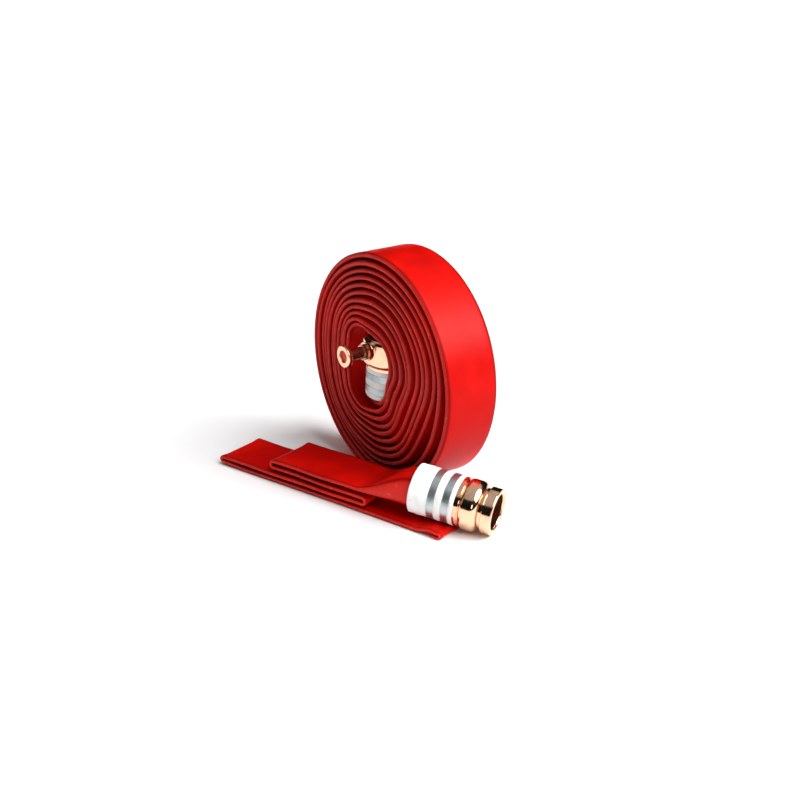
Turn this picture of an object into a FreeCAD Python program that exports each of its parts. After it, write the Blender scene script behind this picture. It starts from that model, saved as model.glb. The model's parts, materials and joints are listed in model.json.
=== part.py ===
"""Rolled lay-flat fire hose with a male and a female instantaneous coupling.

Millimetres, +Z up.  The roll stands on its tread with its axis along Y.  Its tail lies in
front of it (towards -Y), folded in a zigzag that ends in the male coupling.  The female
coupling sits in the core of the roll, mouth up.  The model is built about the middle of the
roll's front face at floor level, and then moved so that the origin is at the middle of the
bottom of the whole object's box.
"""
import FreeCAD, Part
import math
import os

Vector = FreeCAD.Vector
Rotation = FreeCAD.Rotation
Placement = FreeCAD.Placement

# ---- driving dimensions -------------------------------------------------------------------
# hose
hoseWall = 2.3              # woven jacket with its cover and lining
flatWidth = 88.0            # width of the hose laid flat
pressedThickness = 4.7      # two walls pressed together
runThickness = 9.0          # one run of the tail, which lies loose
runGap = 0.5                # between two runs of the tail
dentClearance = 0.3         # round the male coupling where it presses into the floor run

# roll
rollRadius = 172.0
coreWidth = 94.0
coreHeight = 122.0
coreCorner = 34.0
coreShift = (-19.5, -5.5)   # centre of the core from the centre of the roll, X and Z

# tail, in its own frame: U along the runs, V across them
tailYaw = 17.0              # degrees between the runs and the plane of the roll
tailFront = -108.5          # V of the front edge of every run
foldLeftLow = -223.0        # U of the outside of each fold
foldLeftHigh = -121.0
foldRightHigh = 66.0
foldRightLow = 196.0
neckStart = 56.0            # where the top run starts to open into a tube
feedEnd = 40.0              # X where the feed run is fully under the roll
feedTip = -40.0             # X where the roll's outer turn leaves the floor

# male coupling, along its axis: 0 at the front of the lip, negative towards the hose
maleYaw = 31.0
maleTilt = 7.3              # the lip points down to the floor
maleLipCentre = (246.0, 31.2)
waterRadius = 25.0
tailRadius = 26.2
maleTailEnd = -120.0
lipRadius = 33.25
lipBack = -15.0
lipRound = 1.5
lipChamfer = 1.0            # at the back of the lip
mouthRound = 3.0            # where the waterway opens in the lip's face
grooveRadius = 29.3
grooveBack = -20.0
barrelRadius = 36.5
barrelFront = -32.0
barrelBack = -38.0
shoulderBulge = 0.17        # how far each arc stands off its chord, as a share of it
crownBulge = 0.14
crownEndRadius = 33.6
crownEndBack = -46.5
flangeRadius = 35.2
flangeFront = -48.0
flangeBack = -54.0

# bindings and bands
sleeveRadius = 34.6
maleSleeveLength = 67.0
femaleSleeveLength = 46.0
bandThickness = 1.0
bandWidth = 10.0
bandMargins = (12.0, 33.0)  # from the coupling's end of the sleeve to the middle of each band
buckleLength = 14.0         # round the band
buckleWidth = 13.0          # along the coupling
buckleHeight = 3.0
buckleRound = 1.2

# female coupling, along its axis: 0 at the plungers, positive towards the mouth
femaleCentre = (-19.0, 24.0)    # X and Z from the centre of the roll
femaleTilt = 4.0                # the mouth leans towards +X
femaleForward = 4.0             # from the middle of the roll's width towards its front
cupRadius = 42.0
rimRadius = 38.5
cupTop = 18.0
cupChamfer = 1.5            # round the mouth of the bore
cupShoulder = -18.0
cupBottom = -26.0
cupShoulderBulge = 0.15
rimStart = 9.0              # level where the rim starts to draw in
rimBulge = 0.12
neckRadius = 35.2
collarBottom = -30.0
cupBore = 33.45
sealSeat = -15.0
sealTop = -8.0
sealInner = 29.0
sealOuter = 38.0
sealLip = (2.0, 1.0)        # its inner edge's top: out from sealInner, down from sealTop
femaleTailEnd = -74.0

# plungers, along their own axis from the axis of the coupling
tongueTip = 30.6
tongueRadius = 7.0
tongueRound = 2.5
tongueEnd = 46.0
bossRadius = 14.0
bossStart = 38.0
bossEnd = 46.0
collarRadius = 11.5
collarEnd = 51.5
housingRadius = 8.8
housingBore = 7.1
housingEnd = 77.0
housingEndWall = 3.0
spindleRadius = 4.0
spindleEnd = 81.0
runningClearance = 0.06
knobRadius = 16.5
knobEnd = 84.0
knobRound = 1.5
recessRadius = 9.5
recessDepth = 3.0
recessTaper = 0.8
knobPinRadius = 1.1
knobPinLength = 24.0
springRadius = 5.55         # middle of the wire
springWire = 1.0            # radius of the wire
springTurns = 7

# ---- derived ------------------------------------------------------------------------------
arcMiddle = 1 - math.sqrt(0.5)      # a quarter round's middle, from its corner, in radii
runPitch = runThickness + runGap
foldDiameter = runThickness + runPitch
hoseTubeRadius = tailRadius + hoseWall
tailBack = tailFront + flatWidth
tailMiddle = tailFront + flatWidth / 2
maleSleeveEnd = flangeBack - maleSleeveLength
femaleSleeveEnd = collarBottom - femaleSleeveLength
rollMiddle = flatWidth / 2

nodes = {}


# ---- frames -------------------------------------------------------------------------------
def tailFrame():
    """U and V are X and Y turned by the tail's yaw."""
    return Placement(Vector(0, 0, 0), Rotation(Vector(0, 0, 1), tailYaw))


def femaleFrame():
    """+Z is the female coupling's axis, and Y is the roll's axis."""
    centre = Vector(femaleCentre[0], rollMiddle - femaleForward, rollRadius + femaleCentre[1])
    return Placement(centre, Rotation(Vector(0, 1, 0), femaleTilt))


def outwards(side):
    """+Z turned to point along a plunger: side is -1 at the front and +1 at the rear."""
    return Placement(Vector(0, 0, 0), Rotation(Vector(1, 0, 0), -90 * side))


def plungerFrame(side):
    return femaleFrame().multiply(outwards(side))


def maleFrame():
    """+Z points out of the male coupling, and +Y level towards the roll."""
    height = lipRadius * math.cos(math.radians(maleTilt))
    turn = Rotation(Vector(0, 0, 1), maleYaw).multiply(Rotation(Vector(0, 1, 0), 90 + maleTilt))
    return Placement(Vector(maleLipCentre[0], maleLipCentre[1], height), turn)


def placed(shape, frame):
    carried = shape.copy()
    carried.Placement = frame.multiply(carried.Placement)
    return carried


# ---- shapes -------------------------------------------------------------------------------
def disc(radius, low, high):
    """A cylinder about +Z between two levels."""
    return Part.makeCylinder(radius, high - low, Vector(0, 0, low))


def ring(outer, inner, low, high):
    return disc(outer, low, high).cut(disc(inner, low - 1, high + 1))


def slab(lowU, highU, lowZ, highZ):
    """A straight run of the tail across its full width."""
    return Part.makeBox(highU - lowU, flatWidth, highZ - lowZ, Vector(lowU, tailFront, lowZ))


def turnedOutline(steps):
    """A solid of revolution about +Z.

    Each step is a (radius, level) point reached by a straight line, or a pair of points for
    an arc through the first to the second.  The outline closes on its first point.
    """
    edges = []
    last = None
    first = None
    for step in steps:
        if isinstance(step[0], tuple):
            through, end = (Vector(r, 0, z) for r, z in step)
            edges.append(Part.Arc(last, through, end).toShape())
        else:
            end = Vector(step[0], 0, step[1])
            if last is not None:
                edges.append(Part.makeLine(last, end))
        first = first or end
        last = end
    edges.append(Part.makeLine(last, first))
    return Part.Face(Part.Wire(edges)).revolve(Vector(0, 0, 0), Vector(0, 0, 1), 360)


def bulge(start, end, share):
    """The middle point of an arc between two outline points, standing off their chord."""
    middleR = (start[0] + end[0]) / 2
    middleZ = (start[1] + end[1]) / 2
    return (middleR + share * (end[1] - start[1]), middleZ - share * (end[0] - start[0]))


def roundedHole(width, height, corner):
    """A rounded rectangle in the roll's face, extruded along the roll's axis."""
    box = Part.makeBox(width, flatWidth + 2, height, Vector(-width / 2, -1, -height / 2))
    along = [edge for edge in box.Edges if abs(edge.tangentAt(edge.FirstParameter).y) > 0.9]
    return box.makeFillet(corner, along)


# ---- hose ---------------------------------------------------------------------------------
def makeRoll():
    """The wound turns as one ring, flattened where the roll rests on its own outer turn."""
    body = Part.makeCylinder(rollRadius, flatWidth, Vector(0, 0, rollRadius), Vector(0, 1, 0))
    floorCut = Part.makeBox(4 * rollRadius, 2 * flatWidth, 2 * rollRadius,
                            Vector(-2 * rollRadius, -flatWidth / 2,
                                   pressedThickness - 2 * rollRadius))
    core = roundedHole(coreWidth, coreHeight, coreCorner)
    core.translate(Vector(coreShift[0], 0, rollRadius + coreShift[1]))
    nodes["hose_roll"] = body.cut(floorCut).cut(core)


def makeFeedRun():
    """The run between the roll's outer turn and the fold at the tail's right end."""
    corners = [tailFrame().multVec(Vector(foldRightLow, tailFront, 0)),
               tailFrame().multVec(Vector(foldRightLow, tailBack, 0)),
               Vector(feedEnd, flatWidth, 0),
               Vector(feedTip, flatWidth, 0),
               Vector(feedTip, 0, 0),
               Vector(feedEnd, 0, 0)]
    outline = Part.makePolygon(corners + corners[:1])
    nodes["hose_feed_run"] = Part.Face(outline).extrude(Vector(0, 0, pressedThickness))


def makeTailRuns():
    """Four runs, one on another, with a half-round fold at the end of each pair.

    The floor run drapes over the feed run, and the male coupling lies in a dent in both.
    """
    foldRadius = foldDiameter / 2
    lowLeft = foldLeftLow + foldRadius
    highLeft = foldLeftHigh + foldRadius
    highRight = foldRightHigh - foldRadius
    floorRun = placed(slab(lowLeft, foldRightLow, 0, runThickness), tailFrame())
    couplingDent = placed(disc(barrelRadius + dentClearance, maleSleeveEnd, 0), maleFrame())
    nodes["hose_floor_run"] = floorRun.cut(nodes["hose_feed_run"]).cut(couplingDent)
    nodes["hose_feed_run"] = nodes["hose_feed_run"].cut(couplingDent)
    levels = [level * runPitch for level in range(4)]
    spans = {"hose_lower_run": (1, lowLeft, highRight),
             "hose_upper_run": (2, highLeft, highRight),
             "hose_top_run": (3, highLeft, neckStart)}
    for name, (level, lowU, highU) in spans.items():
        run = slab(lowU, highU, levels[level], levels[level] + runThickness)
        nodes[name] = placed(run, tailFrame())
    folds = {"hose_left_low_fold": (0, lowLeft, -1),
             "hose_right_fold": (1, highRight, 1),
             "hose_left_high_fold": (2, highLeft, -1)}
    for name, (level, atU, side) in folds.items():
        base = Vector(atU, tailFront, levels[level] + foldRadius)
        drum = Part.makeCylinder(foldRadius, flatWidth, base, Vector(0, 1, 0))
        half = slab(min(atU, atU + side * foldDiameter), max(atU, atU + side * foldDiameter),
                    levels[level], levels[level] + foldDiameter)
        nodes[name] = placed(drum.common(half), tailFrame())


def makeHoseEnds():
    """The flat run opening to the male coupling's tail, and the hose over each tail."""
    middle = 3 * runPitch + runThickness / 2
    upright = Rotation(Vector(0, 1, 0), Vector(0, 0, 1), Vector(1, 0, 0), "ZXY")
    flatFrame = tailFrame().multiply(Placement(Vector(neckStart, tailMiddle, middle), upright))
    roundFrame = maleFrame().multiply(Placement(Vector(0, 0, maleSleeveEnd), Rotation()))
    flatEnd = Part.Ellipse(Vector(0, 0, 0), flatWidth / 2, runThickness / 2 - runGap).toShape()
    roundEnd = Part.makeCircle(hoseTubeRadius)
    ends = [Part.Wire([placed(flatEnd, flatFrame)]), Part.Wire([placed(roundEnd, roundFrame)])]
    nodes["hose_male_neck"] = Part.makeLoft(ends, True, True)
    maleEnd = ring(hoseTubeRadius, tailRadius, maleSleeveEnd, flangeBack)
    nodes["hose_male_end"] = placed(maleEnd, maleFrame())

    femaleEnd = ring(hoseTubeRadius, tailRadius, femaleSleeveEnd, collarBottom)
    nodes["hose_female_end"] = placed(femaleEnd, femaleFrame())
    lead = placed(disc(hoseTubeRadius, femaleSleeveEnd - flatWidth, femaleSleeveEnd), femaleFrame())
    core = roundedHole(coreWidth, coreHeight, coreCorner)
    core.translate(Vector(coreShift[0], 0, rollRadius + coreShift[1]))
    nodes["hose_female_neck"] = lead.common(core)


# ---- couplings ----------------------------------------------------------------------------
def makeMaleCoupling():
    """Tail, flange, barrel, groove and lip in one casting with a straight waterway."""
    shoulderStart = (barrelRadius, barrelFront)
    shoulderEnd = (grooveRadius, grooveBack)
    crownStart = (crownEndRadius, crownEndBack)
    crownEnd = (barrelRadius, barrelBack)
    body = turnedOutline([
        (waterRadius, maleTailEnd),
        (tailRadius, maleTailEnd),
        (tailRadius, flangeBack),
        (flangeRadius, flangeBack),
        (flangeRadius, flangeFront),
        (crownEndRadius, flangeFront),
        crownStart,
        (bulge(crownStart, crownEnd, crownBulge), crownEnd),
        shoulderStart,
        (bulge(shoulderStart, shoulderEnd, shoulderBulge), shoulderEnd),
        (grooveRadius, lipBack),
        (lipRadius - lipChamfer, lipBack),
        (lipRadius, lipBack + lipChamfer),
        (lipRadius, -lipRound),
        ((lipRadius - lipRound * arcMiddle, -lipRound * arcMiddle), (lipRadius - lipRound, 0)),
        (waterRadius + mouthRound, 0),
        ((waterRadius + mouthRound * arcMiddle, -mouthRound * arcMiddle),
         (waterRadius, -mouthRound)),
    ])
    nodes["male_coupling"] = placed(body, maleFrame())


def makeBinding(prefix, frame, couplingEnd, sleeveEnd):
    """A canvas sleeve over the hose end with two steel bands and their buckles."""
    sleeve = ring(sleeveRadius, hoseTubeRadius, sleeveEnd, couplingEnd)
    nodes[prefix + "_binding_sleeve"] = placed(sleeve, frame)
    outer = sleeveRadius + bandThickness
    buckles = []
    for number, margin in enumerate(bandMargins, 1):
        middle = couplingEnd - margin
        band = ring(outer, sleeveRadius, middle - bandWidth / 2, middle + bandWidth / 2)
        nodes[prefix + "_band_%d" % number] = placed(band, frame)
        corner = Vector(-buckleLength / 2, sleeveRadius, middle - buckleWidth / 2)
        block = Part.makeBox(buckleLength, bandThickness + buckleHeight, buckleWidth, corner)
        across = [edge for edge in block.Edges
                  if edge.BoundBox.YMin > sleeveRadius + 1 and edge.BoundBox.ZLength > 1]
        block = block.makeFillet(buckleRound, across)
        buckles.append(placed(block.cut(disc(outer, sleeveEnd - 1, couplingEnd + 1)), frame))
    nodes[prefix + "_band_buckles"] = Part.makeCompound(buckles)


def plungerHole():
    """What a plunger and its boss take out of the female coupling's wall."""
    return disc(tongueRadius + runningClearance, cupBore / 2, bossEnd + 1)


def makeFemaleCoupling():
    """Cup, seal seat, collar and tail in one casting, with a boss for each plunger."""
    shoulderStart = (neckRadius, cupBottom)
    shoulderEnd = (cupRadius, cupShoulder)
    drawnIn = (cupRadius, rimStart)
    rimEnd = (rimRadius, cupTop)
    body = turnedOutline([
        (waterRadius, femaleTailEnd),
        (tailRadius, femaleTailEnd),
        (tailRadius, collarBottom),
        (neckRadius, collarBottom),
        shoulderStart,
        (bulge(shoulderStart, shoulderEnd, cupShoulderBulge), shoulderEnd),
        drawnIn,
        (bulge(drawnIn, rimEnd, rimBulge), rimEnd),
        (cupBore + cupChamfer, cupTop),
        (cupBore, cupTop - cupChamfer),
        (cupBore, sealTop),
        (sealOuter, sealTop),
        (sealOuter, sealSeat),
        (waterRadius, sealSeat),
    ])
    for side in (-1, 1):
        body = body.fuse(placed(disc(bossRadius, bossStart, bossEnd), outwards(side)))
        body = body.cut(placed(plungerHole(), outwards(side)))
    nodes["female_coupling"] = placed(body, femaleFrame())
    seal = turnedOutline([
        (sealInner, sealSeat),
        (sealOuter, sealSeat),
        (sealOuter, sealTop),
        (cupBore, sealTop),
        (sealInner + sealLip[0], sealTop - sealLip[1]),
    ])
    nodes["female_seal_ring"] = placed(seal, femaleFrame())


def makePlunger(place, side):
    """One spring-loaded plunger: tongue and spindle, housing, spring, knob and its pin."""
    frame = plungerFrame(side)
    housing = ring(collarRadius, housingBore, bossEnd, collarEnd)
    housing = housing.fuse(ring(housingRadius, housingBore, collarEnd, housingEnd))
    endWall = ring(housingBore, spindleRadius + runningClearance,
                   housingEnd - housingEndWall, housingEnd)
    nodes["%s_plunger_housing" % place] = placed(housing.fuse(endWall), frame)

    pinHole = Part.makeCylinder(knobPinRadius, knobPinLength,
                                Vector(-knobPinLength / 2, 0, (housingEnd + spindleEnd) / 2),
                                Vector(1, 0, 0))
    tongue = turnedOutline([
        (0, tongueTip),
        (tongueRadius - tongueRound, tongueTip),
        ((tongueRadius - tongueRound * arcMiddle, tongueTip + tongueRound * arcMiddle),
         (tongueRadius, tongueTip + tongueRound)),
        (tongueRadius, tongueEnd),
        (spindleRadius, tongueEnd),
        (spindleRadius, spindleEnd),
        (0, spindleEnd),
    ])
    nodes["%s_plunger" % place] = placed(tongue.cut(pinHole), frame)

    knob = turnedOutline([
        (spindleRadius, housingEnd),
        (knobRadius - knobRound, housingEnd),
        ((knobRadius - knobRound * arcMiddle, housingEnd + knobRound * arcMiddle),
         (knobRadius, housingEnd + knobRound)),
        (knobRadius, knobEnd - knobRound),
        ((knobRadius - knobRound * arcMiddle, knobEnd - knobRound * arcMiddle),
         (knobRadius - knobRound, knobEnd)),
        (recessRadius, knobEnd),
        (recessRadius - recessTaper, knobEnd - recessDepth),
        (spindleRadius, knobEnd - recessDepth),
    ])
    nodes["%s_plunger_knob" % place] = placed(knob.cut(pinHole), frame)
    nodes["%s_knob_pin" % place] = placed(pinHole, frame)

    coilStart = tongueEnd + springWire
    coilLength = housingEnd - housingEndWall - springWire - coilStart
    helix = Part.makeHelix(coilLength / springTurns, coilLength, springRadius)
    helix.translate(Vector(0, 0, coilStart))
    rise = math.atan2(coilLength / springTurns, 2 * math.pi * springRadius)
    section = Part.makeCircle(springWire, Vector(springRadius, 0, coilStart),
                              Vector(0, math.cos(rise), math.sin(rise)))
    coil = Part.Wire(helix.Edges).makePipeShell([Part.Wire([section])], True, True)
    nodes["%s_plunger_spring" % place] = placed(coil, frame)


def moveToOrigin():
    """The middle of the bottom of the whole object's box becomes the origin."""
    box = FreeCAD.BoundBox()
    for shape in nodes.values():
        box.add(shape.optimalBoundingBox(False, False))
    shift = Vector(-box.Center.x, -box.Center.y, -box.ZMin)
    for shape in nodes.values():
        shape.translate(shift)
    print("size %.1f x %.1f x %.1f mm" % (box.XLength, box.YLength, box.ZLength))
    print("moved by %.3f, %.3f, %.3f mm" % (shift.x, shift.y, shift.z))


def main():
    makeRoll()
    makeFeedRun()
    makeTailRuns()
    makeHoseEnds()
    makeMaleCoupling()
    makeBinding("male", maleFrame(), flangeBack, maleSleeveEnd)
    makeFemaleCoupling()
    makeBinding("female", femaleFrame(), collarBottom, femaleSleeveEnd)
    makePlunger("front", -1)
    makePlunger("rear", 1)
    moveToOrigin()
    os.makedirs("parts", exist_ok=True)
    for name, shape in nodes.items():
        shape.exportStep("parts/%s.step" % name)
        print("%-26s %9.0f mm3  valid %s" % (name, shape.Volume, shape.isValid()))


main()
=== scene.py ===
import json
import bpy
import numpy as np
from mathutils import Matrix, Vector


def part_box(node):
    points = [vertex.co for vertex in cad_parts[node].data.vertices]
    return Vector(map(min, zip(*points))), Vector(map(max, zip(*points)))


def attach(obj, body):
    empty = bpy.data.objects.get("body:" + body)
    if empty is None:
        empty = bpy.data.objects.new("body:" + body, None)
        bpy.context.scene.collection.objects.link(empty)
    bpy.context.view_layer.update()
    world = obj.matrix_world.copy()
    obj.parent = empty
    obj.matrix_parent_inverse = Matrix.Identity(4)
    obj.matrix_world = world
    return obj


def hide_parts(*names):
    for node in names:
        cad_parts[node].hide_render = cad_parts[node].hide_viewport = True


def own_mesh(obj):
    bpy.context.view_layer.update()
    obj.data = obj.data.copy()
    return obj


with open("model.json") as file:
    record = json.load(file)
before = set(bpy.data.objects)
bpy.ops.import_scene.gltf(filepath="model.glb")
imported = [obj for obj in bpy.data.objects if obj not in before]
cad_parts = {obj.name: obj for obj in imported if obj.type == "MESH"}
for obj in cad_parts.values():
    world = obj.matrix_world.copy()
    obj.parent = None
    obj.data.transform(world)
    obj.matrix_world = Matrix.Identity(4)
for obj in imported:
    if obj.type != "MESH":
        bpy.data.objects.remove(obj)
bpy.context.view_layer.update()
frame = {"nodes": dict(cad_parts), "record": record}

mm = 0.001
rng = np.random.default_rng(52)
scene = bpy.context.scene
mounts = {mount["name"]: mount for mount in frame["record"]["mounts"]}


# places taken from the frame
rollLow, rollHigh = (np.array(corner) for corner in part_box("hose_roll"))
rollRadius = (rollHigh[0] - rollLow[0]) / 2
rollFront = rollLow[1]
hoseWidth = rollHigh[1] - rollLow[1]
rollCentre = np.array([(rollLow[0] + rollHigh[0]) / 2, rollFront, rollHigh[2] - rollRadius])
lip = mounts["male_lip"]
lipRound = 1.5              # mm, between the mount's straight part and the lip's face
maleAxis = np.array(lip["axis"], float)
maleFront = (np.array(lip["pos_m"], float)
             + (lip["dims"]["length_mm"] / 2 + lipRound) * mm * maleAxis)
femaleAxis = np.array(mounts["female_bore"]["axis"], float)
knobFront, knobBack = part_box("front_plunger_knob")[0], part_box("rear_plunger_knob")[1]
femaleCentre = (np.array(knobFront) + np.array(knobBack)) / 2


# camera
view = {"azimuth": 54.585, "pitch": 21.579, "lens": 58.5, "sensor": 36.0,
        "fromRoll": (8.5038, -5.7969, 3.7990)}   # in roll radii from the roll's front middle

cameraData = bpy.data.cameras.new("camera")
cameraData.lens = view["lens"]
cameraData.sensor_width = view["sensor"]
camera = bpy.data.objects.new("camera", cameraData)
camera.location = rollCentre + rollRadius * np.array(view["fromRoll"])
camera.rotation_euler = (np.radians(90 - view["pitch"]), 0, np.radians(view["azimuth"]))
scene.collection.objects.link(camera)
scene.camera = camera
scene.view_settings.view_transform = "Standard"
print("camera ready")


# shader helpers
class Signal:
    # one socket of a node tree, so that maths on it can be written as an expression
    def __init__(self, graph, socket):
        self.graph, self.socket = graph, socket

    def maths(self, operation, *values):
        return self.graph.node("ShaderNodeMath", {"operation": operation},
                               dict(enumerate(values)))

    def __add__(self, other): return self.maths("ADD", self, other)
    def __radd__(self, other): return self.maths("ADD", other, self)
    def __sub__(self, other): return self.maths("SUBTRACT", self, other)
    def __rsub__(self, other): return self.maths("SUBTRACT", other, self)
    def __mul__(self, other): return self.maths("MULTIPLY", self, other)
    def __rmul__(self, other): return self.maths("MULTIPLY", other, self)
    def __pow__(self, other): return self.maths("POWER", self, other)
    def sine(self): return self.maths("SINE", self)

    def step(self, low, high):
        # 0 below low and 1 above high, smooth between them
        return self.graph.node("ShaderNodeMapRange", {"interpolation_type": "SMOOTHSTEP"},
                               {0: self, 1: low, 2: high})


class Graph:
    def __init__(self, tree):
        self.tree = tree
        self.tree.nodes.clear()

    def node(self, kind, settings=None, sockets=None, output=0):
        made = self.tree.nodes.new(kind)
        for name, value in (settings or {}).items():
            if name == "stops":
                while len(made.color_ramp.elements) < len(value):
                    made.color_ramp.elements.new(1.0)
                for element, (place, colour) in zip(made.color_ramp.elements, value):
                    element.position = place
                    element.color = (*colour, 1.0)
            else:
                setattr(made, name, value)
        for name, value in (sockets or {}).items():
            if isinstance(value, Signal):
                self.tree.links.new(value.socket, made.inputs[name])
            else:
                made.inputs[name].default_value = value
        return Signal(self, made.outputs[output]) if made.outputs else None

    def mix(self, factor, first, second):
        def colour(value):
            return value if isinstance(value, Signal) else (*value, 1.0)
        return self.node("ShaderNodeMix", {"data_type": "RGBA"},
                         {0: factor, 6: colour(first), 7: colour(second)}, 2)

    def noise(self, where, scale, detail=3.0, roughness=0.5):
        return self.node("ShaderNodeTexNoise", None,
                         {"Vector": where, "Scale": scale, "Detail": detail,
                          "Roughness": roughness})

    def stretched(self, where, scale):
        return self.node("ShaderNodeMapping", None, {"Vector": where, "Scale": scale})

    def split(self, where):
        parts = self.node("ShaderNodeSeparateXYZ", None, {0: where})
        return [Signal(self, output) for output in parts.socket.node.outputs]

    def bump(self, height, strength, distance, normal=None):
        sockets = {"Height": height, "Strength": strength, "Distance": distance}
        if normal is not None:
            sockets["Normal"] = normal
        return self.node("ShaderNodeBump", None, sockets)


def newMaterial(name, build):
    material = bpy.data.materials.new(name)
    material.use_nodes = True
    graph = Graph(material.node_tree)
    shader = graph.node("ShaderNodeBsdfPrincipled", None, build(graph))
    graph.node("ShaderNodeOutputMaterial", None, {"Surface": shader})
    return material


# materials
coverLook = {"red": (0.66, 0.004, 0.001), "deepRed": (0.44, 0.002, 0.001),
             # painted shade: the next colour darkens the flanks between the turns
             "gapShade": (0.10, 0.001, 0.001),
             # the next colour lightens the bead edges: partly wear, partly a painted highlight
             # along the crests
             "wearAndHighlight": (0.88, 0.16, 0.13), "rib": 2.2 * mm, "pick": 1.6 * mm, "gloss": 0.07}


def buildCover(g):
    cloth = g.node("ShaderNodeUVMap", {"uv_map": "cloth"})
    across, along, _ = g.split(cloth)
    place = g.node("ShaderNodeTexCoord", None, None, 3)
    edge = g.node("ShaderNodeAttribute", {"attribute_name": "edge"}, None, 2)
    flank = g.node("ShaderNodeAttribute", {"attribute_name": "flank"}, None, 2)
    cloudy = g.noise(place, 9.0, 4.0, 0.55)
    streaks = g.noise(g.stretched(cloth, (90.0, 7.0, 1.0)), 1.0, 3.0)
    scuffs = g.noise(place, 120.0, 5.0, 0.7).step(0.55, 0.75)
    colour = g.mix(cloudy.step(0.35, 0.7), coverLook["deepRed"], coverLook["red"])
    colour = g.mix(0.18 * streaks.step(0.5, 0.8), colour, coverLook["deepRed"])
    colour = g.mix(flank * 0.75, colour, coverLook["gapShade"])    # painted shade: the flanks facing the next turns are darkened, where shade falls between the turns
    # lighter bead edges: a painted highlight along the crests, stronger where scuffed as wear
    colour = g.mix(edge * (0.15 + 0.45 * scuffs), colour, coverLook["wearAndHighlight"])
    # a plain weave shows through the cover: ribs along the hose crossed by its picks
    ribs = (across * (6.2832 / coverLook["rib"])).sine()
    picks = (along * (6.2832 / coverLook["pick"])).sine()
    weave = ribs * picks * 0.5 + 0.5
    dents = g.noise(g.stretched(cloth, (22.0, 12.0, 1.0)), 1.0, 3.0)
    relief = g.bump(weave, 0.16, 0.4 * mm, g.bump(dents, 0.30, 2.0 * mm))
    return {"Base Color": colour, "Roughness": 0.33 + 0.14 * scuffs + 0.10 * cloudy,
            "Normal": relief, "Specular IOR Level": coverLook["gloss"]}


canvasLook = {"white": (0.94, 0.94, 0.93), "grey": (0.55, 0.56, 0.58), "thread": 1.1 * mm}


def buildCanvas(g):
    cloth = g.node("ShaderNodeUVMap", {"uv_map": "cloth"})
    across, along, _ = g.split(cloth)
    place = g.node("ShaderNodeTexCoord", None, None, 3)
    soil = g.noise(place, 60.0, 5.0, 0.6).step(0.52, 0.78)
    folds = g.noise(g.stretched(cloth, (60.0, 14.0, 1.0)), 1.0, 4.0, 0.6)
    warp = (across * (6.2832 / canvasLook["thread"])).sine()
    weft = (along * (6.2832 / canvasLook["thread"])).sine()
    weave = warp * weft * 0.5 + 0.5
    colour = g.mix(0.45 * soil + 0.12 * weave, canvasLook["white"], canvasLook["grey"])
    relief = g.bump(weave, 0.35, 0.3 * mm, g.bump(folds, 0.5, 1.5 * mm))
    return {"Base Color": colour, "Roughness": 0.78 + 0.12 * soil, "Normal": relief,
            "Sheen Weight": 0.15}


metalLook = {"copper": (0.93, 0.60, 0.40), "brown": (0.62, 0.33, 0.20),
             "spindle": (0.40, 0.25, 0.17), "paint": (0.62, 0.03, 0.010)}


def metalSurface(g, colour, roughness):
    place = g.node("ShaderNodeTexCoord", None, None, 3)
    tarnish = g.noise(place, 45.0, 4.0, 0.6)
    marks = g.noise(g.stretched(place, (60.0, 60.0, 900.0)), 1.0, 4.0, 0.7)
    return {"Base Color": g.mix(tarnish.step(0.45, 0.85), colour, metalLook["brown"]),
            "Roughness": roughness + 0.10 * tarnish + 0.04 * marks,
            "Metallic": 1.0, "Normal": g.bump(marks, 0.05, 0.3 * mm)}


def buildGunmetal(g):
    return metalSurface(g, metalLook["copper"], 0.05)


def buildSpindle(g):
    return metalSurface(g, metalLook["spindle"], 0.14)


recess = {"radius": 9.0 * mm, "softness": 0.2 * mm}


def buildKnob(g):
    # red paint in the recess: inside its radius about the plunger's axis
    surface = metalSurface(g, metalLook["copper"], 0.10)
    x, _, z = g.split(g.node("ShaderNodeTexCoord", None, None, 3))
    offX, offZ = x - float(femaleCentre[0]), z - float(femaleCentre[2])
    reach = (offX * offX + offZ * offZ) ** 0.5
    painted = 1 - reach.step(recess["radius"] - recess["softness"],
                             recess["radius"] + recess["softness"])
    surface["Base Color"] = g.mix(painted, surface["Base Color"], metalLook["paint"])
    surface["Metallic"] = 1 - painted
    surface["Roughness"] = 0.16 + 0.30 * painted
    return surface


steelLook = {"band": (0.50, 0.55, 0.56), "dark": (0.30, 0.34, 0.36), "spring": (0.55, 0.55, 0.56)}


def buildSteel(g):
    place = g.node("ShaderNodeTexCoord", None, None, 3)
    brushed = g.noise(g.stretched(place, (25.0, 25.0, 25.0)), 9.0, 6.0, 0.75)
    stain = g.noise(place, 40.0, 4.0, 0.6)
    return {"Base Color": g.mix(stain.step(0.4, 0.7), steelLook["band"], steelLook["dark"]),
            "Roughness": 0.28 + 0.22 * brushed, "Metallic": 1.0,
            "Normal": g.bump(brushed, 0.08, 0.2 * mm)}


def buildSpring(g):
    place = g.node("ShaderNodeTexCoord", None, None, 3)
    stain = g.noise(place, 200.0, 4.0, 0.6)
    return {"Base Color": g.mix(stain.step(0.4, 0.8), steelLook["spring"], steelLook["dark"]),
            "Roughness": 0.25 + 0.2 * stain, "Metallic": 1.0}


def buildRubber(g):
    place = g.node("ShaderNodeTexCoord", None, None, 3)
    bloom = g.noise(place, 150.0, 5.0, 0.65)
    return {"Base Color": g.mix(bloom.step(0.4, 0.8), (0.02, 0.02, 0.02), (0.06, 0.055, 0.05)),
            "Roughness": 0.55 + 0.25 * bloom, "Normal": g.bump(bloom, 0.15, 0.3 * mm)}


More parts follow.
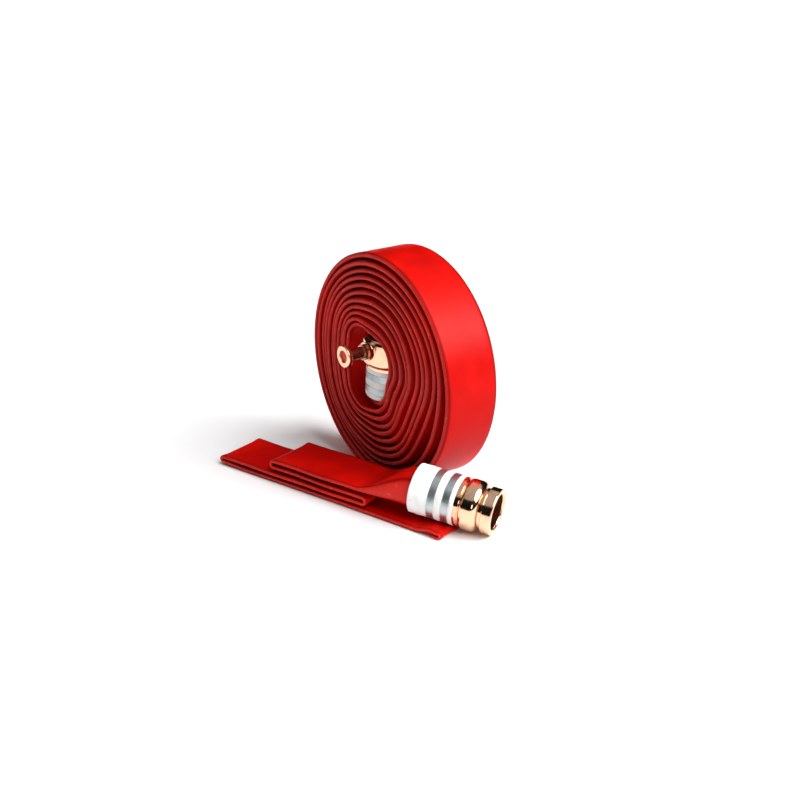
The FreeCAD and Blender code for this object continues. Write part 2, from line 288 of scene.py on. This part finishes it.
def buildFloor(g):
    place = g.node("ShaderNodeTexCoord", None, None, 3)
    patches = g.noise(place, 3.0, 3.0)
    return {"Base Color": g.mix(patches, (0.93, 0.93, 0.93), (0.90, 0.90, 0.90)),
            "Roughness": 0.75 + 0.1 * patches}


cover = newMaterial("hoseCover", buildCover)
canvas = newMaterial("bindingCanvas", buildCanvas)
gunmetal = newMaterial("polishedGunmetal", buildGunmetal)
spindleBronze = newMaterial("spindleBronze", buildSpindle)
knobMetal = newMaterial("paintedKnob", buildKnob)
bandSteel = newMaterial("bandSteel", buildSteel)
springSteel = newMaterial("springSteel", buildSpring)
sealRubber = newMaterial("sealRubber", buildRubber)
floorWhite = newMaterial("floorWhite", buildFloor)
print("materials ready")


# mesh helpers
def unit(vectors):
    return vectors / np.linalg.norm(vectors, axis=-1, keepdims=True)


def smooth(value, low, high):
    # 0 below low and 1 above high, with a level start and end
    share = np.clip((value - low) / (high - low), 0, 1)
    return share * share * (3 - 2 * share)


def loopGrid(name, points, capped, uv=None, attributes=None):
    # points[i, j] is ring i, place j round the ring; each ring closes on itself.  The rings
    # are joined by quads, and either the end rings get caps or the last ring joins the first
    rings, around, _ = points.shape
    i = np.arange(rings - 1 if capped else rings)[:, None]
    j = np.arange(around)[None, :]
    nextI, nextJ = (i + 1) % rings, (j + 1) % around
    quads = np.stack([i * around + j, i * around + nextJ,
                      nextI * around + nextJ, nextI * around + j], -1).reshape(-1, 4)
    vertices = points.reshape(-1, 3)
    faces = quads.tolist()
    if capped:
        ends = np.array([points[0].mean(0), points[-1].mean(0)])
        vertices = np.concatenate([vertices, ends])
        ring = np.arange(around)
        following = (ring + 1) % around
        last = (rings - 1) * around
        first = np.stack([following, ring, np.full(around, rings * around)], -1)
        final = np.stack([last + ring, last + following,
                          np.full(around, rings * around + 1)], -1)
        faces += first.tolist() + final.tolist()
    mesh = bpy.data.meshes.new(name)
    mesh.from_pydata(vertices, [], faces)
    mesh.polygons.foreach_set("use_smooth", np.ones(len(mesh.polygons), bool))
    if uv is not None:
        # each face takes its corners' values; the last column of faces ends at the full girth
        layer = mesh.uv_layers.new(name="cloth")
        values = np.zeros((len(mesh.loops), 2))
        girth, length = uv
        corner = np.stack([np.stack([girth[j + 0 * i], length[i + 0 * j]], -1),
                           np.stack([girth[j + 1 + 0 * i], length[i + 0 * j]], -1),
                           np.stack([girth[j + 1 + 0 * i], length[i + 1 + 0 * j]], -1),
                           np.stack([girth[j + 0 * i], length[i + 1 + 0 * j]], -1)], 2)
        values[:len(quads) * 4] = corner.reshape(-1, 2)
        layer.data.foreach_set("uv", values.ravel())
    for label, data in (attributes or {}).items():
        filled = np.zeros(len(mesh.vertices))
        filled[:rings * around] = np.broadcast_to(data, (rings, around)).ravel()
        mesh.attributes.new(label, "FLOAT", "POINT").data.foreach_set("value", filled)
    mesh.update()
    piece = bpy.data.objects.new(name, mesh)
    scene.collection.objects.link(piece)
    return piece


# hose
hose = {"around": 32, "middle": 0.74, "pressed": 2.35 * mm, "tube": 28.3 * mm,
        "tubeRings": 6, "femaleTube": (60 * mm, 76 * mm), "maleTube": (-121 * mm, -104 * mm),
        "measuredRing": 500,        # the ring whose girth the cloth pattern uses
        # rings in each join between two stretches, and how hard it pulls straight
        "feedJoin": (46, 0.55), "femaleJoin": (16, 0.85), "maleJoin": (34, 0.75),
        # shares of the half width where the lighter edge (partly wear, partly a painted highlight)
        # and the painted shade on the flanks begin and end
        "wearAndHighlight": (0.965, 1.0), "shadeStarts": (0.86, 0.94), "shadeEnds": (0.95, 0.99)}

halfWidth = hoseWidth / 2
ringAngle = 2 * np.pi * np.arange(hose["around"]) / hose["around"]
# places round the ring are drawn together at the two edges of the flat hose
edgeAngle = ringAngle - 0.45 * np.sin(2 * ringAngle)


def flatOutline(width, bead, middle):
    # half the hose's thickness at a distance from its edge: a quarter circle, then a fall
    # from the bead to the thinner middle.  Returns places across and along the normal
    across = np.cos(edgeAngle)[None, :] * width[:, None]
    inset = width[:, None] - np.abs(across)
    bead, middle = bead[:, None], middle[:, None]
    quarter = np.sqrt(np.clip(bead ** 2 - (bead - np.minimum(inset, bead)) ** 2, 0, None))
    thin = bead * (middle + (1 - middle) * np.exp(-((inset - bead) / (7 * mm)) ** 2))
    half = np.where(inset < bead, quarter, thin)
    return across, half * np.sign(np.round(np.sin(ringAngle), 9))[None, :]


def ribbon(centres, widths, normals, halfWidths, beads, middles):
    # a flat outline carried along a path, turned by its width and normal directions
    across, high = flatOutline(halfWidths, beads, middles)
    return (centres[:, None] + across[..., None] * widths[:, None]
            + high[..., None] * normals[:, None])


def tubeRings(centre, heading, width, starts, radius):
    # circles about a straight axis, in the same order round as the flat outline
    normal = np.cross(heading, width)
    circle = radius * (np.cos(ringAngle)[:, None] * width + np.sin(ringAngle)[:, None] * normal)
    return centre + starts[:, None, None] * heading + circle[None]


def opening(first, firstHeading, last, lastHeading, steps, pull):
    # cubic curves from each point of one ring to the same point of the other, leaving and
    # arriving along the two headings
    s = np.linspace(0, 1, steps + 2)[1:-1, None, None]
    reach = pull * np.linalg.norm(last - first, axis=1)[None, :, None]
    return ((2 * s**3 - 3 * s**2 + 1) * first + (s**3 - 2 * s**2 + s) * reach * firstHeading
            + (3 * s**2 - 2 * s**3) * last + (s**3 - s**2) * reach * lastHeading)


# the wound turns
roll = {"turns": 11, "start": 0.03, "perTurn": 180, "leastPitch": 8.1 * mm, "uneven": 0.38,
        "core": (94 * mm, 122 * mm, 34 * mm), "coreShift": (-19.5 * mm, -5.5 * mm),
        "wander": 1.3 * mm, "outer": 167.9 * mm, "floorReach": 169.6 * mm,
        "onFeed": 163.2 * mm, "lastPitch": 9.4 * mm, "lastSlack": 5.0 * mm,
        "innerBead": 4.4 * mm, "beadShare": 0.43, "beads": (3.2 * mm, 4.6 * mm),
        "lastBead": 4.1 * mm, "lastMiddle": 0.93, "open": 5 * mm,
        # turn: how much looser than its neighbours, towards which direction, how widely
        "loose": {1: (2.6, -68, 24), 4: (2.2, -44, 22), 8: (6.0, -38, 26), 9: (3.2, -28, 30)}}

# how far the front edges of the inner turns close in over the core, by direction in degrees
closing = {-180: 0, -146: 3, -114: 9, -98: 15, -80: 21, -60: 21, -40: 15, -18: 10, 0: 8, 26: 10,
           50: 16, 70: 21, 90: 22, 116: 14, 126: 8, 136: 3, 150: 0, 180: 0}


def coreReach(angle):
    # distance from the roll's middle to the core's rounded rectangle, read off its outline
    wide, high, corner = roll["core"]
    turn = np.linspace(0, 2 * np.pi, 4000, endpoint=False)
    cornerX = (wide / 2 - corner) * np.tanh(40 * np.cos(turn))
    cornerZ = (high / 2 - corner) * np.tanh(40 * np.sin(turn))
    x = roll["coreShift"][0] + cornerX + corner * np.cos(turn)
    z = roll["coreShift"][1] + cornerZ + corner * np.sin(turn)
    seen = np.arctan2(z, x)
    order = np.argsort(seen)
    return np.interp(angle, seen[order], np.hypot(x, z)[order], period=2 * np.pi)


def bump(angle, middle, spread):
    # a smooth rise about one direction, in degrees
    away = (np.degrees(angle) - middle + 180) % 360 - 180
    return np.exp(-(away / spread) ** 2)


def turnShares(angle):
    # how the slack at each direction is shared between the turns: uneven at random, with
    # the loosest places low on the right
    turns = roll["turns"] - 1
    base = 1 + roll["uneven"] * rng.uniform(-1, 1, turns)
    waves = [0.45 * np.sin(angle * wave + phase)
             for wave, phase in zip(rng.integers(1, 4, turns), rng.uniform(0, 6.28, turns))]
    shares = np.array([np.full(angle.shape, base[k]) + waves[k] for k in range(turns)])
    for k, (much, towards, spread) in roll["loose"].items():
        shares[k] += much * bump(angle, towards, spread)
    shares = np.clip(shares, 0.05, None)
    return shares / shares.sum(0)


def rollRings():
    # radius = core + the pitches of the turns inside + the part of this turn already wound.
    # The last turn lies on a circle, apart from where it starts on top of the feed run and
    # where it comes down to the floor
    turns, fine = roll["turns"], 1440
    grid = np.linspace(-np.pi, np.pi, fine, endpoint=False)
    gridPart = ((grid + np.pi / 2) / (2 * np.pi)) % 1
    inner = coreReach(grid) + roll["innerBead"]
    last = (roll["outer"] + (roll["onFeed"] - roll["outer"]) * (1 - smooth(gridPart, 0, 0.13))
            + (roll["floorReach"] - roll["outer"]) * smooth(gridPart, 0.94, 1.0))
    lastPitch = roll["lastPitch"] + roll["lastSlack"] * bump(grid, -30, 26)
    lastPitch -= (roll["lastPitch"] - (roll["floorReach"] - roll["onFeed"])) \
        * smooth(gridPart, 0.90, 1.0)
    wound9 = last - gridPart * lastPitch - inner
    shared = roll["leastPitch"] + (wound9 - (turns - 1) * roll["leastPitch"]) * turnShares(grid)
    pitch = np.concatenate([shared, lastPitch[None]])
    stacked = np.concatenate([np.zeros((1, fine)), np.cumsum(shared, 0)])
    wound = np.linspace(roll["start"], turns, int(roll["perTurn"] * turns))
    turn = np.minimum(wound.astype(int), turns - 1)
    part = wound - turn
    angle = wound * 2 * np.pi - np.pi / 2

    def readOff(rows):
        # each station's value from its own turn's row, interpolated round the circle
        place = (angle + np.pi) / (2 * np.pi) * fine
        low = np.floor(place).astype(int)
        share = place - low
        return rows[turn, low % fine] * (1 - share) + rows[turn, (low + 1) % fine] * share

    radius = readOff(np.tile(inner, (turns, 1))) + readOff(stacked) + part * readOff(pitch)
    onCircle = turn == turns - 1
    radius = np.where(onCircle, np.interp(part, np.sort(gridPart), last[np.argsort(gridPart)]),
                      radius)
    outward = np.concatenate([pitch[1:], pitch[-1:] + roll["open"]])
    inward = np.concatenate([pitch[:1] + roll["open"], pitch[:-1]])
    toNext = readOff(pitch) * (1 - part) + readOff(outward) * part
    toLast = readOff(inward) * (1 - part) + readOff(pitch) * part
    bead = np.clip(roll["beadShare"] * np.minimum(toNext, toLast), *roll["beads"])
    middle = np.full(bead.shape, hose["middle"])
    lastPart = smooth(wound, turns - 1.02, turns - 0.85)
    middle = middle + (roll["lastMiddle"] - middle) * lastPart
    bead = bead + (roll["lastBead"] - bead) * lastPart
    bead = bead + (hose["pressed"] - bead) * smooth(wound, turns - 0.05, turns - 0.002)
    x = rollCentre[0] + radius * np.cos(angle)
    z = rollCentre[2] + radius * np.sin(angle)
    z = np.maximum(z, bead + 0.1 * mm)
    sway = roll["wander"] * (np.sin(wound * 2.3 + 1.0) + 0.7 * np.sin(wound * 5.9)) \
        * (1 - smooth(wound, turns - 1.1, turns - 0.5))
    centres = np.stack([x, np.full(x.shape, rollCentre[1] + halfWidth) + sway, z], -1)
    heading = unit(np.gradient(centres * [1, 0, 1], axis=0))
    width = np.tile([0.0, 1.0, 0.0], (len(x), 1))
    normal = np.cross(heading, width)
    rings = ribbon(centres, width, normal, np.full(len(x), halfWidth - 0.6 * mm), bead, middle)
    # the edges of the inner turns close in, where the cup pushes the middle out
    inside = rings - (rollCentre + [0, halfWidth, 0])
    side = inside[..., 1] / halfWidth
    around = np.linspace(-180, 180, 361)
    table = np.interp(around, list(closing), list(closing.values())) * mm
    table = np.convolve(np.pad(table[:-1], 12, "wrap"), np.hanning(25) / 12, "valid")
    close = np.interp(np.degrees(angle), around[:-1], table, period=360)[:, None]
    fade = (1 - (wound / turns))[:, None] ** 1.3
    shift = close * fade * np.where(side < 0, side ** 2, 0.45 * side ** 2)
    outwards = np.stack([np.cos(angle), np.zeros(len(angle)), np.sin(angle)], -1)
    rings -= shift[..., None] * outwards[:, None]
    return rings, heading[0]


# the folded tail
tail = {"yaw": 17.0, "front": -108.5 * mm, "rightLow": 195.5 * mm, "leftLow": -222.5 * mm,
        "rightHigh": 66 * mm, "leftHigh": -120.5 * mm, "opens": 46 * mm,
        "bead": 2.9 * mm, "middle": 0.62,
        "bend": 22 * mm,            # length over which a run comes up to its fold
        "foldSteps": 18, "foldReach": 1.15, "swellLeft": 0.2, "swellRight": 0.55,
        "feedSlope": 0.638, "feedCovers": (150 * mm, 176 * mm), "floorLength": 450 * mm,
        "drift": (1.0 * mm, 9.0), "slack": (0.5 * mm, 55, 30),
        # middle heights of the feed, floor, lower, upper and top runs
        "levels": (2.35 * mm, 4.3 * mm, 13.7 * mm, 23.4 * mm, 33.2 * mm)}

yaw = np.radians(tail["yaw"])
tailU = np.array([np.cos(yaw), np.sin(yaw), 0])
tailV = np.array([-np.sin(yaw), np.cos(yaw), 0])
tailOrigin = np.array([rollCentre[0], rollCentre[1], 0])
tailMiddle = tail["front"] + halfWidth
up = np.array([0.0, 0.0, 1.0])


def tailPlace(u, v, z):
    return tailOrigin + u[..., None] * tailU + v[..., None] * tailV + z[..., None] * up


def straight(start, end, spacing=4 * mm):
    # evenly spaced points from one (u, z) place up to, but not including, another
    count = max(int(np.hypot(end[0] - start[0], end[1] - start[1]) / spacing), 2)
    share = np.arange(count)[:, None] / count
    return np.array(start) * (1 - share) + np.array(end) * share


def fold(turnAt, low, high, side, swell):
    # half an ellipse from the low run to the high one, swollen a little into a loop
    angle = np.linspace(-np.pi / 2, np.pi / 2, tail["foldSteps"], endpoint=False)
    middle, half = (low + high) / 2, (high - low) / 2
    loop = 1 + swell * np.cos(angle) ** 2
    return np.stack([turnAt + side * half * tail["foldReach"] * np.cos(angle) * loop,
                     middle + half * loop * np.sin(angle)], -1)


def tailRings():
    # the runs and folds as one path in the plane of u and z, from the lowest run upwards
    feed, floor, lower, upper, top = tail["levels"]
    raised = floor + 2 * hose["pressed"]
    bead, bend, reach = tail["bead"], tail["bend"], tail["foldReach"]
    left, right = tail["swellLeft"], tail["swellRight"]
    # the left low fold starts a little over the floor run and ends a little under the next
    over, under = 1.6 * mm, 0.4 * mm
    reachRight = tail["rightLow"] - 2.4 * mm - (raised - feed) / 2 * reach
    reachLeftLow = (tail["leftLow"] + bead
                    + (lower - floor - 2 * mm) / 2 * reach * (1 + left))
    reachRightHigh = tail["rightHigh"] - bead - (upper - lower) / 2 * reach * (1 + right)
    reachLeftHigh = tail["leftHigh"] + bead + (top - upper) / 2 * reach * (1 + left)
    path = np.concatenate([
        fold(reachRight, feed, raised, 1, 0.0),
        straight((reachRight, raised), (reachRight - bend, floor)),
        straight((reachRight - bend, floor), (reachLeftLow + 2 * bend, floor)),
        straight((reachLeftLow + 2 * bend, floor), (reachLeftLow, floor + over)),
        fold(reachLeftLow, floor + over, lower - under, -1, left),
        straight((reachLeftLow, lower - under), (reachRightHigh, lower)),
        fold(reachRightHigh, lower, upper, 1, right),
        straight((reachRightHigh, upper), (reachLeftHigh, upper)),
        fold(reachLeftHigh, upper, top, -1, left),
        straight((reachLeftHigh, top), (tail["opens"], top + 1.5 * mm)),
        [(tail["opens"], top + 1.5 * mm)]])
    kernel = np.array([1, 2, 3, 2, 1]) / 9       # softens the joins between runs and folds
    padded = np.concatenate([path[:1], path[:1], path, path[-1:], path[-1:]])
    path = np.stack([np.convolve(padded[:, axis], kernel, "valid") for axis in (0, 1)], -1)
    length = np.concatenate([[0], np.cumsum(np.hypot(*np.diff(path, axis=0).T))])
    u, z = path.T
    turn = np.stack([np.gradient(u), np.gradient(z)], -1)
    turn = turn / np.hypot(*turn.T)[:, None]
    heading = turn[:, :1] * tailU + turn[:, 1:] * up
    width = np.tile(tailV, (len(u), 1))
    normal = np.cross(heading, width)
    sway, often = tail["drift"]
    drift = sway * np.sin(length * often) * smooth(length, 0, 60 * mm)
    centres = tailPlace(u, tailMiddle + drift, z)
    beads = np.full(len(u), bead)
    beads = hose["pressed"] + (beads - hose["pressed"]) * smooth(length, 4 * mm, 50 * mm)
    rings = ribbon(centres, width, normal, np.full(len(u), halfWidth - 1.2 * mm), beads,
                   np.full(len(u), tail["middle"]))
    # the floor run drapes over the feed run, whose front edge crosses it aslant
    local = rings - tailOrigin
    ringU, ringV = local @ tailU, local @ tailV
    edgeV = tail["front"] + (tail["rightLow"] - ringU) * tail["feedSlope"]
    raisedBy = smooth(ringV - edgeV, -8 * mm, 8 * mm)
    raisedBy = raisedBy + (1 - raisedBy) * smooth(ringU, *tail["feedCovers"])
    onFloor = ((length > length[tail["foldSteps"]]) & (length < tail["floorLength"])
               & (z < 8 * mm))[:, None]
    base = smooth(ringU, reachRight - bend, reachRight) * 2 * hose["pressed"]
    rings[..., 2] += np.where(onFloor, np.maximum(raisedBy * 2 * hose["pressed"] - base, 0),
                               0)
    # slack: each run waves a little, more at its front edge
    deep, alongWaves, acrossWaves = tail["slack"]
    wave = deep * np.sin(ringU * alongWaves + 3 * length[:, None]) * np.cos(ringV * acrossWaves)
    rings[..., 2] += wave * smooth(rings[..., 2], 8 * mm, 14 * mm)
    return rings, heading[-1]


# the male coupling over the low runs: lengths are from its front, towards the hose negative
pressing = {"barrel": 36.8 * mm, "sleeve": 36.0 * mm, "sleeveFrom": -50 * mm,
            "from": -124 * mm, "to": -14 * mm, "tiltCosine": 0.992, "stack": 13.9 * mm,
            "least": 0.18, "upTo": (26 * mm, 22 * mm)}
maleLevel = unit(maleAxis * [1, 1, 0])
maleAcross = unit(np.array([-maleAxis[1], maleAxis[0], 0]))


def underCoupling(rings):
    # where the male coupling lies over the low runs, everything is pressed flat in
    # proportion, to pass under the barrel: its lowest line stands this high at each place
    away = rings - maleFront
    along = (away @ maleLevel) / (maleAxis @ maleLevel)
    side = away[..., 0] * -maleLevel[1] + away[..., 1] * maleLevel[0]
    axisHigh = maleFront[2] + along * maleAxis[2]
    radius = np.where(along > pressing["sleeveFrom"], pressing["barrel"], pressing["sleeve"])
    lowest = axisHigh - np.sqrt(np.clip(radius ** 2 - side ** 2, 0, None)) / pressing["tiltCosine"]
    beneath = (np.abs(side) < radius) & (along > pressing["from"]) & (along < pressing["to"])
    share = np.clip(lowest / pressing["stack"], pressing["least"], 1)
    low = smooth(rings[..., 2], *pressing["upTo"])
    rings[..., 2] *= 1 + (np.where(beneath, share, 1) - 1) * low
    return rings


def wholeHose():
    rings, startHeading = rollRings()
    tailGrid, topHeading = tailRings()
    tailGrid = underCoupling(tailGrid)
    # the pressed run on the floor, from under the roll to the tail's first fold
    feedGrid = opening(rings[-1], np.array([1.0, 0, 0]), tailGrid[0], tailU,
                       *hose["feedJoin"])
    # out of the female coupling, flattening as it turns into the innermost turn
    down = -femaleAxis
    across = np.array([0.0, 1.0, 0.0])
    femaleTube = tubeRings(femaleCentre, down, across,
                           np.linspace(*hose["femaleTube"], hose["tubeRings"]), hose["tube"])
    femaleGrid = opening(femaleTube[-1], down, rings[0], startHeading,
                         *hose["femaleJoin"])
    # into the male coupling, opening from flat to round
    maleTube = tubeRings(maleFront, maleAxis, maleAcross,
                         np.linspace(*hose["maleTube"], hose["tubeRings"]), hose["tube"])
    maleGrid = opening(tailGrid[-1], topHeading, maleTube[0], maleAxis,
                       *hose["maleJoin"])
    grid = np.concatenate([femaleTube, femaleGrid, rings, feedGrid, tailGrid, maleGrid, maleTube])
    middles = grid.mean(1)
    length = np.concatenate([[0], np.cumsum(np.linalg.norm(np.diff(middles, axis=0), axis=1))])
    measured = rings[hose["measuredRing"]]
    girth = np.concatenate([[0], np.cumsum(np.linalg.norm(
        np.roll(measured, -1, 0) - measured, axis=1))])
    reach = np.abs(np.cos(edgeAngle))[None, :]
    # the lighter bead edge: partly wear, partly a painted highlight along the crests
    edge = smooth(reach, *hose["wearAndHighlight"])
    # painted shade on the flanks of each bead, where they face the next turns
    flank = smooth(reach, *hose["shadeStarts"]) * (1 - smooth(reach, *hose["shadeEnds"]))
    piece = loopGrid("hose", grid, True, (girth, length), {"edge": edge, "flank": flank})
    piece.data.materials.append(cover)
    print("hose length %.2f m, %d rings" % (length[-1], len(grid)))
    return piece, float(length[-1])


hosePiece, hoseLength = wholeHose()
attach(hosePiece, "hose")
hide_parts("hose_roll", "hose_feed_run", "hose_floor_run", "hose_lower_run",
            "hose_upper_run", "hose_top_run", "hose_left_low_fold", "hose_right_fold",
            "hose_left_high_fold", "hose_male_neck", "hose_male_end", "hose_female_end",
            "hose_female_neck")
print("hose ready")


# canvas bindings
binding = {"outer": 34.4 * mm, "inner": 28.6 * mm, "bandMargins": (12 * mm, 33 * mm),
           "bandHalf": 5.6 * mm, "swell": 0.9 * mm, "hem": 1.6 * mm, "around": 160,
           "male": (54 * mm, 67 * mm), "female": (30 * mm, 46 * mm)}    # start and length


def canvasBinding(name, start, heading, width, length):
    # a thick sleeve about its axis: the outside swells between the bands and is nipped by
    # them, both ends are rounded hems, and the wrap's last turn stands up as a low step
    profileSteps = 110
    s = np.linspace(0, length, profileSteps)
    nip = sum(np.exp(-((s - margin) / binding["bandHalf"]) ** 4)
              for margin in binding["bandMargins"])
    hem = binding["hem"]
    inset = np.minimum(s, length - s)
    rounding = hem - np.sqrt(np.clip(hem ** 2 - (hem - np.minimum(inset, hem)) ** 2, 0, None))
    outer = binding["outer"] + binding["swell"] * (1 - nip) - rounding
    outer = np.where(nip > 0.5, np.minimum(outer, binding["outer"]), outer)
    inner = np.linspace(length, 0, 8)
    along = np.concatenate([s, inner])[:, None]
    radius = np.concatenate([outer, np.full(8, binding["inner"])])[:, None]
    angle = 2 * np.pi * np.arange(binding["around"])[None, :] / binding["around"]
    isOuter = (np.arange(profileSteps + 8) < profileSteps)[:, None]
    free = np.concatenate([1 - nip, np.zeros(8)])[:, None] * isOuter
    seam = angle - 2.2 - 5 * along
    lap = 0.8 * mm * smooth(np.cos(seam), 0.80, 0.97) * (np.sin(seam) > 0)
    creases = 0.35 * mm * np.sin(3 * angle + 150 * along) * np.sin(7 * angle - 260 * along + 1)
    radius = radius + free * (lap + creases)
    normal = np.cross(heading, width)
    ring = np.cos(angle)[..., None] * width + np.sin(angle)[..., None] * normal
    points = start + along[..., None] * heading + radius[..., None] * ring
    # rings run round the profile, so the grid is turned to close through the sleeve, and
    # taken backwards round the axis so that its faces point outwards
    points = points.transpose(1, 0, 2)[::-1]
    girth = np.concatenate([[0], np.cumsum(np.hypot(np.diff(along[:, 0]),
                                                    np.diff(radius.mean(1)))), [0.15]])
    lengths = binding["outer"] * 2 * np.pi * np.arange(binding["around"] + 1) / binding["around"]
    piece = loopGrid(name, points, False, (girth, lengths))
    piece.data.materials.append(canvas)
    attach(piece, "hose")
    return piece


maleStart, maleLength = binding["male"]
maleBinding = canvasBinding("maleBinding", maleFront - maleStart * maleAxis, -maleAxis,
                            -maleAcross, maleLength)
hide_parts("male_binding_sleeve")
femaleStart, femaleLength = binding["female"]
femaleBinding = canvasBinding("femaleBinding", femaleCentre - femaleStart * femaleAxis,
                              -femaleAxis, np.array([0.0, 1.0, 0.0]), femaleLength)
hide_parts("female_binding_sleeve")
print("bindings ready")


# plunger springs
spring = {"wire": 1.0 * mm, "turns": 7, "perTurn": 36, "around": 12}


def plungerSpring(place, side):
    # a round wire about a helix along the plunger, from its shoulder to the housing's end wall
    low, high = (np.array(corner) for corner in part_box(place + "_plunger_spring"))
    middle = (low + high) / 2
    wall, shoulder = (high[1], low[1]) if side > 0 else (low[1], high[1])
    wire = spring["wire"]
    radius = (high[2] - low[2]) / 2 - wire
    share = np.linspace(0, 1, spring["turns"] * spring["perTurn"] + 1)
    angle = 2 * np.pi * spring["turns"] * share
    along = shoulder + side * wire + share * (wall - shoulder - 2 * side * wire)
    outwards = np.stack([np.cos(angle), np.zeros(len(angle)), np.sin(angle)], -1)
    centres = middle * [1, 0, 1] + radius * outwards + along[:, None] * [0, 1, 0]
    heading = unit(np.gradient(centres, axis=0))
    sideways = np.cross(heading, outwards)
    turn = 2 * np.pi * np.arange(spring["around"])[None, :, None] / spring["around"]
    rings = centres[:, None] + wire * (np.cos(turn) * outwards[:, None]
                                       + np.sin(turn) * sideways[:, None])
    piece = loopGrid(place + "PlungerSpring", rings, True)
    piece.data.materials.append(springSteel)
    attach(piece, "hose")
    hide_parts(place + "_plunger_spring")
    joints = {joint["name"]: joint for joint in frame["record"]["behaviour"]["joints"]}
    travel = joints[place + "_plunger_pull"]["range_m"][1]
    float(1 - travel / abs(wall - shoulder))
    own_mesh(piece)


plungerSpring("front", -1)
plungerSpring("rear", 1)
print("springs ready")


# finishes of the carried-over nodes
finishes = {
    gunmetal: ["male_coupling", "female_coupling"],
    spindleBronze: ["front_plunger_housing", "rear_plunger_housing"],
    knobMetal: ["front_plunger_knob", "rear_plunger_knob", "front_plunger", "rear_plunger"],
    bandSteel: ["male_band_1", "male_band_2", "male_band_buckles", "female_band_1",
                "female_band_2", "female_band_buckles", "front_knob_pin", "rear_knob_pin"],
    sealRubber: ["female_seal_ring"]}
for material, names in finishes.items():
    for name in names:
        for slot in frame["nodes"][name].material_slots:
            slot.material = material
print("finishes ready")


# floor, lights and surroundings
studio = {"floorSize": 200.0, "world": 0.50, "sun": 4.3, "rim": 16.0,
          "front": 1.1, "window": 3.0, "shine": 26.0, "sunTurn": (42, 0, 113)}

floorMesh = bpy.data.meshes.new("floor")
half = studio["floorSize"] / 2
floorMesh.from_pydata([(-half, -half, 0), (half, -half, 0), (half, half, 0), (-half, half, 0)],
                      [], [(0, 1, 2, 3)])
floorPiece = bpy.data.objects.new("floor", floorMesh)
floorPiece.data.materials.append(floorWhite)
scene.collection.objects.link(floorPiece)


def areaLight(name, place, target, size, power):
    light = bpy.data.lights.new(name, "AREA")
    light.shape = "RECTANGLE"
    light.size, light.size_y = size
    light.energy = power
    lamp = bpy.data.objects.new(name, light)
    lamp.location = place
    way = (np.array(place) - np.array(target))
    lamp.rotation_euler = (np.arctan2(np.hypot(way[0], way[1]), way[2]), 0,
                           np.arctan2(way[1], way[0]) + np.pi / 2)
    scene.collection.objects.link(lamp)
    return lamp


sun = bpy.data.lights.new("overhead", "SUN")
sun.energy, sun.angle = studio["sun"], 1.0
sunLamp = bpy.data.objects.new("overhead", sun)
sunLamp.rotation_euler = np.radians(studio["sunTurn"])
scene.collection.objects.link(sunLamp)
areaLight("window", (1.9, -1.5, 0.75), (0.1, 0, 0.1), (0.45, 0.6), studio["window"])
areaLight("rightBack", (1.25, 1.10, 1.35), (0.05, 0.05, 0.2), (0.5, 0.9), studio["rim"])
shine = areaLight("shine", (1.9, 1.15, 1.75), (0.10, 0.05, 0.27), (0.35, 0.9), studio["shine"])
shine.visible_diffuse = False       # adds to the gloss on the tread and nothing else
areaLight("leftFront", (-0.9, -1.8, 1.0), (0, 0, 0.1), (0.7, 1.2), studio["front"])

world = bpy.data.worlds.new("studio")
world.use_nodes = True
scene.world = world
w = Graph(world.node_tree)
_, _, height = w.split(w.node("ShaderNodeTexCoord", None, None, 0))
dome = w.node("ShaderNodeValToRGB",
              {"stops": [(0.0, (0.25, 0.25, 0.25)), (0.49, (0.20, 0.20, 0.20)),
                         (0.505, (0.01, 0.01, 0.01)), (0.82, (0.02, 0.02, 0.02)),
                         (0.87, (0.95, 0.95, 0.95)), (1.0, (1.0, 1.0, 1.0))]},
              {0: height * 0.5 + 0.5})
lit = w.node("ShaderNodeBackground", None, {"Color": dome, "Strength": studio["world"]})
plain = w.node("ShaderNodeBackground", None, {"Color": (1, 1, 1, 1), "Strength": 1.0})
seen = w.node("ShaderNodeLightPath", None, None, 0)
w.node("ShaderNodeOutputWorld", None,
       {"Surface": w.node("ShaderNodeMixShader", None, {0: seen, 1: lit, 2: plain})})
print("studio ready")
